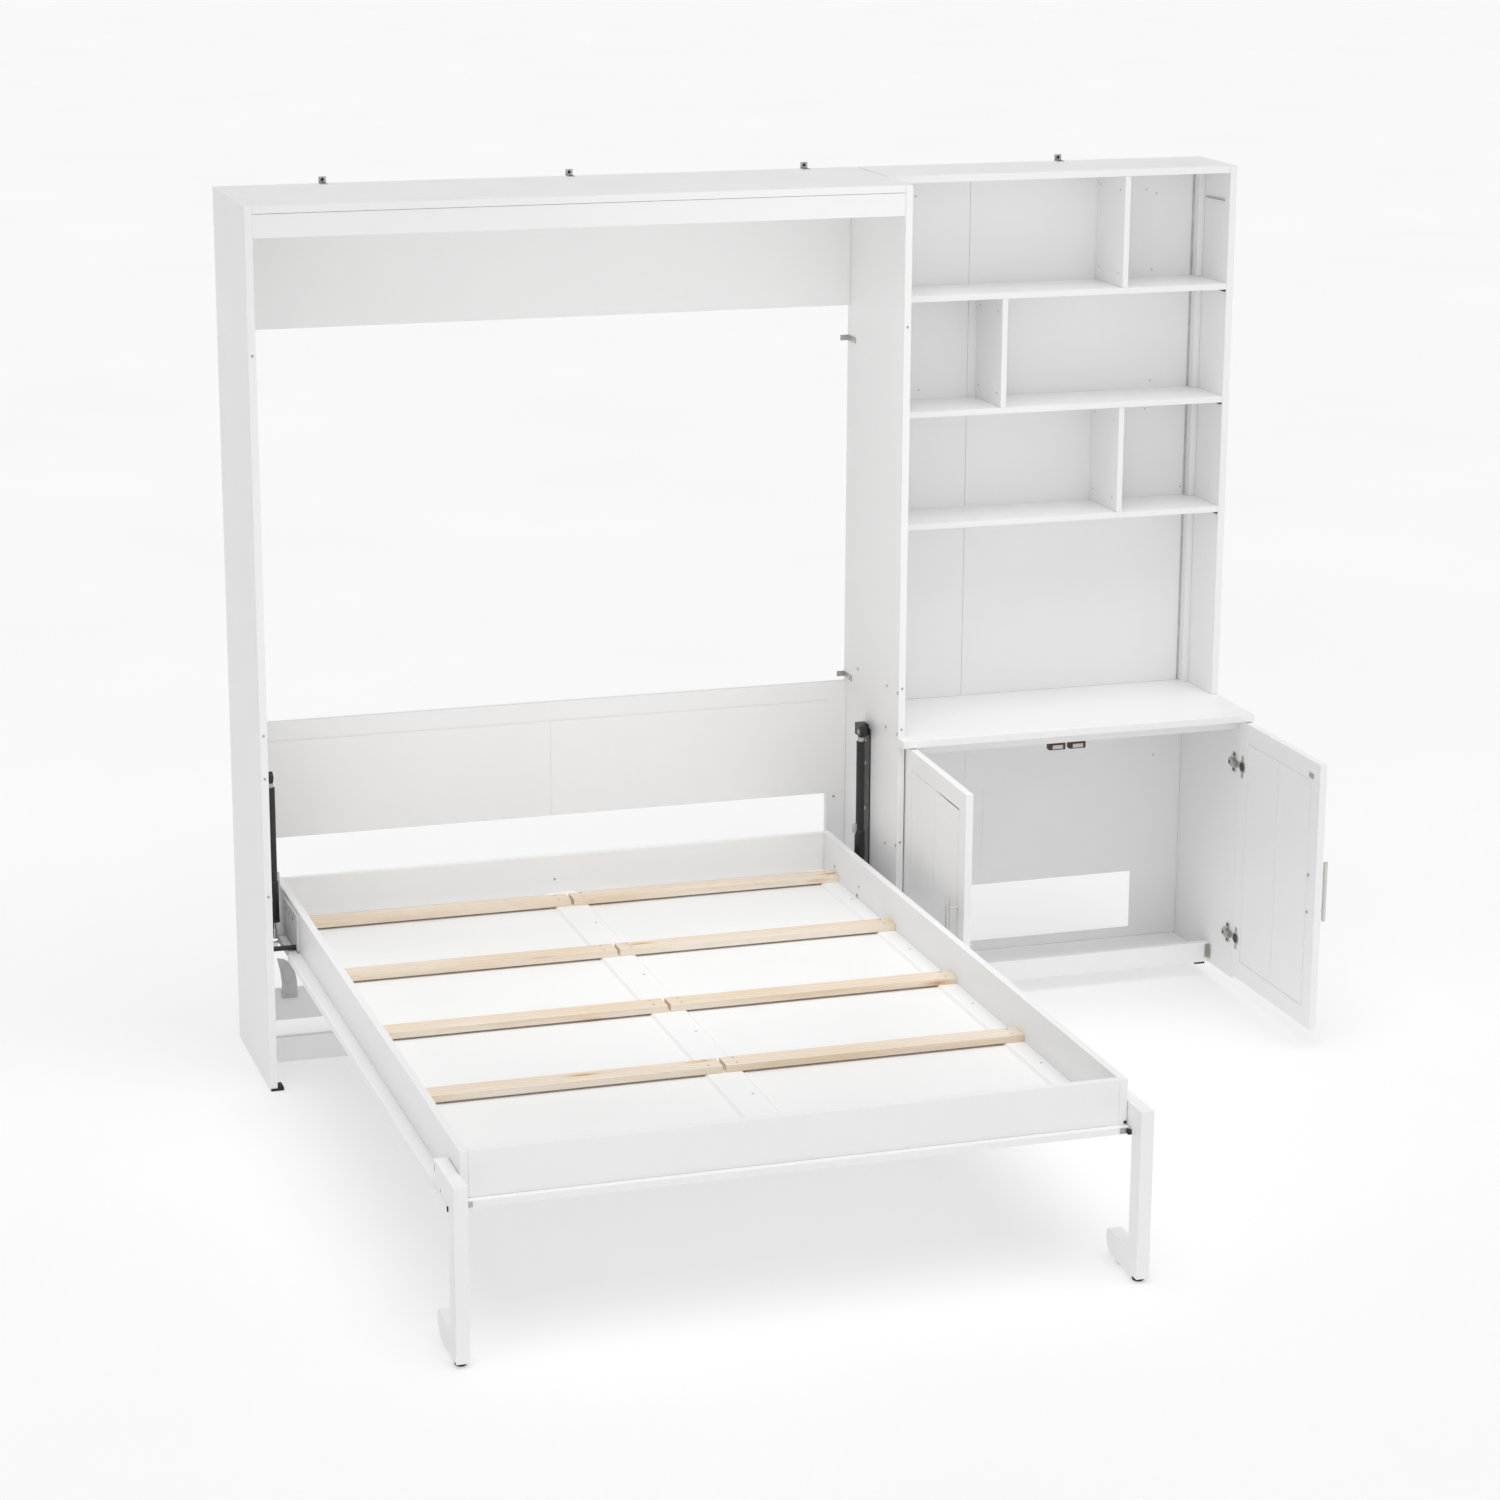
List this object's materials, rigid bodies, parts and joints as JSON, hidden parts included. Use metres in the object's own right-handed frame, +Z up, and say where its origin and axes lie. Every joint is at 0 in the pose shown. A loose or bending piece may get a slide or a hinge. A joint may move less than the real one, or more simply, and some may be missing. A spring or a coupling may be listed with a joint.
{
  "type": "murphy wall bed",
  "caption": "White wall bed folded down from its cabinet on steel pivots, gas struts and swinging legs, beside an open bookcase over a base cupboard with doors.",
  "frame": {"origin": "bottom centre of the whole bounding box with the bed down and both doors open", "axes": "+X to the right along the wall as seen from the room, +Y into the wall, +Z up"},
  "size_m": [2.5842, 2.12, 2.1329],
  "materials": {
    "painted_board": "satin white laminate on board",
    "pine": "bare pine, lightly sanded",
    "black_steel": "black powder coat",
    "white_steel": "white powder coat",
    "chrome": "polished rod",
    "nickel": "brushed nickel",
    "rubber": "black glide"
  },
  "bodies": {
    "cabinet": {"side_panel_left": "painted_board", "side_panel_right": "painted_board", "top_board": "painted_board", "fascia_board": "painted_board", "upper_back_board": "painted_board", "lower_back_board": "painted_board", "back_stile_left": "painted_board", "back_stile_right": "painted_board", "lower_back_rail": "painted_board", "floor_rail": "painted_board", "mount_plate_left": "black_steel", "mount_plate_right": "black_steel", "hutch_side_left": "painted_board", "hutch_side_right": "painted_board", "hutch_top": "painted_board", "hutch_back_left": "painted_board", "hutch_back_right": "painted_board", "hutch_shelf_1": "painted_board", "hutch_shelf_2": "painted_board", "hutch_shelf_3": "painted_board", "hutch_divider_1": "painted_board", "hutch_divider_2": "painted_board", "hutch_divider_3": "painted_board", "base_side_left": "painted_board", "base_side_right": "painted_board", "base_apron": "painted_board", "base_plinth": "painted_board", "base_platform": "painted_board", "base_back": "painted_board", "countertop": "painted_board"},
    "bed": {"bed_rail_left": "painted_board", "bed_rail_right": "painted_board", "bed_head_rail": "painted_board", "bed_foot_rail": "painted_board", "bed_floor_panel": "painted_board", "slat_ledge_left": "painted_board", "slat_ledge_right": "painted_board", "centre_beam": "painted_board", "slat_1_left": "pine", "slat_1_right": "pine", "slat_2_left": "pine", "slat_2_right": "pine", "slat_3_left": "pine", "slat_3_right": "pine", "slat_4_left": "pine", "slat_4_right": "pine", "bed_plate_left": "white_steel", "bed_plate_right": "white_steel"},
    "left_leg": {"leg_left": "painted_board", "leg_glide_left": "rubber"},
    "right_leg": {"leg_right": "painted_board", "leg_glide_right": "rubber"},
    "left_strut_tube": {"strut_tube_left": "black_steel"},
    "left_strut_rod": {"strut_rod_left": "chrome"},
    "right_strut_tube": {"strut_tube_right": "black_steel"},
    "right_strut_rod": {"strut_rod_right": "chrome"},
    "left_door": {"door_left": "painted_board", "handle_left": "nickel"},
    "right_door": {"door_right": "painted_board", "handle_right": "nickel"}
  },
  "joints": [
    {"name": "bed_fold", "type": "hinge", "parent": "cabinet", "child": "bed", "pos_m": [-0.48322, 0.694, 0.344], "axis": [-1, 0, 0], "range_deg": [0, 90]},
    {"name": "leg_left_fold", "type": "hinge", "parent": "bed", "child": "left_leg", "pos_m": [-1.22172, -0.91, 0.345], "axis": [1, 0, 0], "range_deg": [0, 81.5]},
    {"name": "leg_right_fold", "type": "hinge", "parent": "bed", "child": "right_leg", "pos_m": [0.25528, -0.91, 0.345], "axis": [1, 0, 0], "range_deg": [0, 81.5]},
    {"name": "strut_left_swing", "type": "hinge", "parent": "cabinet", "child": "left_strut_tube", "pos_m": [-1.23922, 0.823, 0.737], "axis": [-1, 0, 0], "range_deg": [0, 16.4]},
    {"name": "strut_left_stroke", "type": "slide", "parent": "left_strut_tube", "child": "left_strut_rod", "axis": [0, 0, -1], "range_m": [0, 0.128]},
    {"name": "strut_right_swing", "type": "hinge", "parent": "cabinet", "child": "right_strut_tube", "pos_m": [0.27278, 0.823, 0.737], "axis": [-1, 0, 0], "range_deg": [0, 16.4]},
    {"name": "strut_right_stroke", "type": "slide", "parent": "right_strut_tube", "child": "right_strut_rod", "axis": [0, 0, -1], "range_m": [0, 0.128]},
    {"name": "door_left_hinge", "type": "hinge", "parent": "cabinet", "child": "left_door", "pos_m": [0.33608, 0.634, 0.397], "axis": [0, 0, 1], "range_deg": [-1, 92]},
    {"name": "door_right_hinge", "type": "hinge", "parent": "cabinet", "child": "right_door", "pos_m": [1.25078, 0.634, 0.397], "axis": [0, 0, -1], "range_deg": [-15, 90]}
  ],
  "couplings": [
    {"joint": "leg_left_fold", "follows": "bed_fold", "ratio": 0.905},
    {"joint": "leg_right_fold", "follows": "bed_fold", "ratio": 0.905},
    {"joint": "strut_left_swing", "follows": "bed_fold", "ratio": 0.1815},
    {"joint": "strut_left_stroke", "follows": "bed_fold", "m_per_rad": 0.0808},
    {"joint": "strut_right_swing", "follows": "bed_fold", "ratio": 0.1815},
    {"joint": "strut_right_stroke", "follows": "bed_fold", "m_per_rad": 0.0808}
  ]
}
